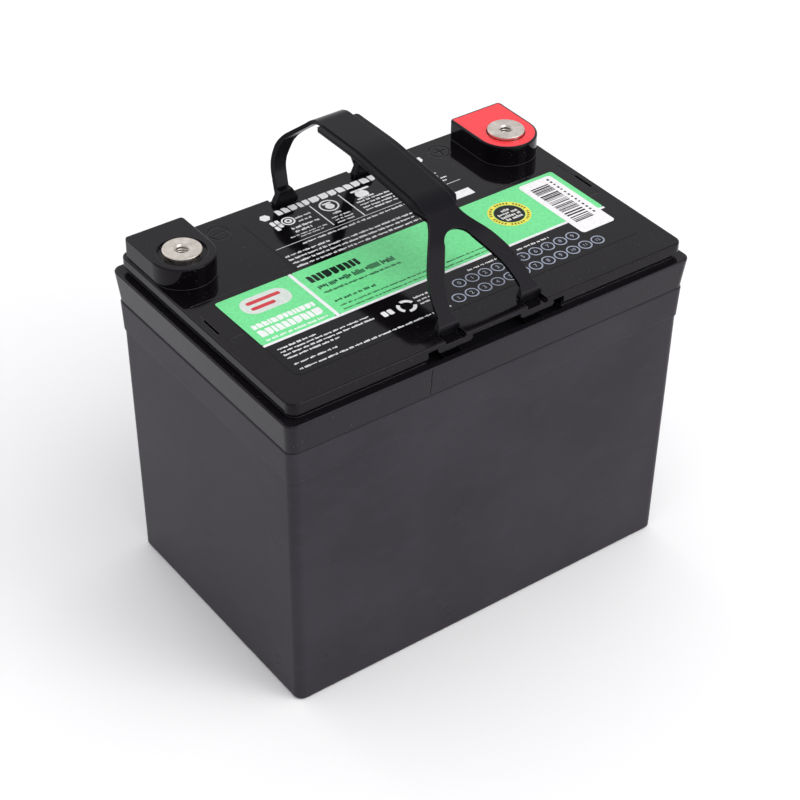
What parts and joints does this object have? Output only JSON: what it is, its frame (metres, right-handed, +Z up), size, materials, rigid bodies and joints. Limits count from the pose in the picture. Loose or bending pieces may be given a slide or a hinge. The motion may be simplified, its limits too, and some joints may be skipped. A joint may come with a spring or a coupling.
{
  "type": "deep cycle battery",
  "caption": "Sealed black deep cycle battery for caravans and recreational vehicles, with threaded insert terminals in towers, a printed top label and a strap handle.",
  "frame": {"origin": "middle of the footprint, on the surface the battery stands on", "axes": "+X along the length from the negative to the positive end, +Y across the width towards the terminals, +Z up"},
  "size_m": [0.196, 0.129, 0.189],
  "materials": {
    "case_plastic": "satin black moulded plastic",
    "lid_plastic": "semi-gloss black moulded plastic",
    "cover_plastic": "semi-gloss black moulded plastic",
    "handle_plastic": "satin black flexible plastic",
    "label_film": "dark printed film with green and white areas",
    "sticker_paper": "white printed paper",
    "marker_red": "gloss red plastic",
    "tinned_brass": "tin-plated, satin",
    "lead": "cast, dull grey",
    "seal_rubber": "matt black rubber",
    "potting_resin": "set resin",
    "valve_rubber": "matt black rubber",
    "positive_paste": "dull brown pasted plate",
    "negative_paste": "dull grey pasted plate",
    "glass_mat": "white glass-fibre mat"
  },
  "bodies": {
    "battery": {"case": "case_plastic", "lid": "lid_plastic", "cover_plate": "cover_plastic", "label": "label_film", "barcode_sticker": "sticker_paper", "positive_marker": "marker_red", "negative_terminal": "tinned_brass", "negative_post": "lead", "negative_terminal_seal": "seal_rubber", "negative_potting": "potting_resin", "positive_terminal": "tinned_brass", "positive_post": "lead", "positive_terminal_seal": "seal_rubber", "positive_potting": "potting_resin", "positive_plates_1": "positive_paste", "negative_plates_1": "negative_paste", "separators_1": "glass_mat", "positive_strap_1": "lead", "negative_strap_1": "lead", "positive_plates_2": "positive_paste", "negative_plates_2": "negative_paste", "separators_2": "glass_mat", "positive_strap_2": "lead", "negative_strap_2": "lead", "positive_plates_3": "positive_paste", "negative_plates_3": "negative_paste", "separators_3": "glass_mat", "positive_strap_3": "lead", "negative_strap_3": "lead", "positive_plates_4": "positive_paste", "negative_plates_4": "negative_paste", "separators_4": "glass_mat", "positive_strap_4": "lead", "negative_strap_4": "lead", "positive_plates_5": "positive_paste", "negative_plates_5": "negative_paste", "separators_5": "glass_mat", "positive_strap_5": "lead", "negative_strap_5": "lead", "positive_plates_6": "positive_paste", "negative_plates_6": "negative_paste", "separators_6": "glass_mat", "positive_strap_6": "lead", "negative_strap_6": "lead", "intercell_weld_1": "lead", "intercell_weld_2": "lead", "intercell_weld_3": "lead", "intercell_weld_4": "lead", "intercell_weld_5": "lead"},
    "handle_body": {"handle": "handle_plastic"},
    "valve_1": {"valve_cap_1": "valve_rubber"},
    "valve_2": {"valve_cap_2": "valve_rubber"},
    "valve_3": {"valve_cap_3": "valve_rubber"},
    "valve_4": {"valve_cap_4": "valve_rubber"},
    "valve_5": {"valve_cap_5": "valve_rubber"},
    "valve_6": {"valve_cap_6": "valve_rubber"}
  },
  "joints": [
    {"name": "handle_lift", "type": "slide", "parent": "battery", "child": "handle_body", "axis": [0, 0, 1], "range_m": [0, 0.0035]},
    {"name": "valve_1_lift", "type": "slide", "parent": "battery", "child": "valve_1", "axis": [0, 0, 1], "range_m": [0, 0.0008], "stiffness_N_per_m": 200},
    {"name": "valve_2_lift", "type": "slide", "parent": "battery", "child": "valve_2", "axis": [0, 0, 1], "range_m": [0, 0.0008], "stiffness_N_per_m": 200},
    {"name": "valve_3_lift", "type": "slide", "parent": "battery", "child": "valve_3", "axis": [0, 0, 1], "range_m": [0, 0.0008], "stiffness_N_per_m": 200},
    {"name": "valve_4_lift", "type": "slide", "parent": "battery", "child": "valve_4", "axis": [0, 0, 1], "range_m": [0, 0.0008], "stiffness_N_per_m": 200},
    {"name": "valve_5_lift", "type": "slide", "parent": "battery", "child": "valve_5", "axis": [0, 0, 1], "range_m": [0, 0.0008], "stiffness_N_per_m": 200},
    {"name": "valve_6_lift", "type": "slide", "parent": "battery", "child": "valve_6", "axis": [0, 0, 1], "range_m": [0, 0.0008], "stiffness_N_per_m": 200}
  ]
}
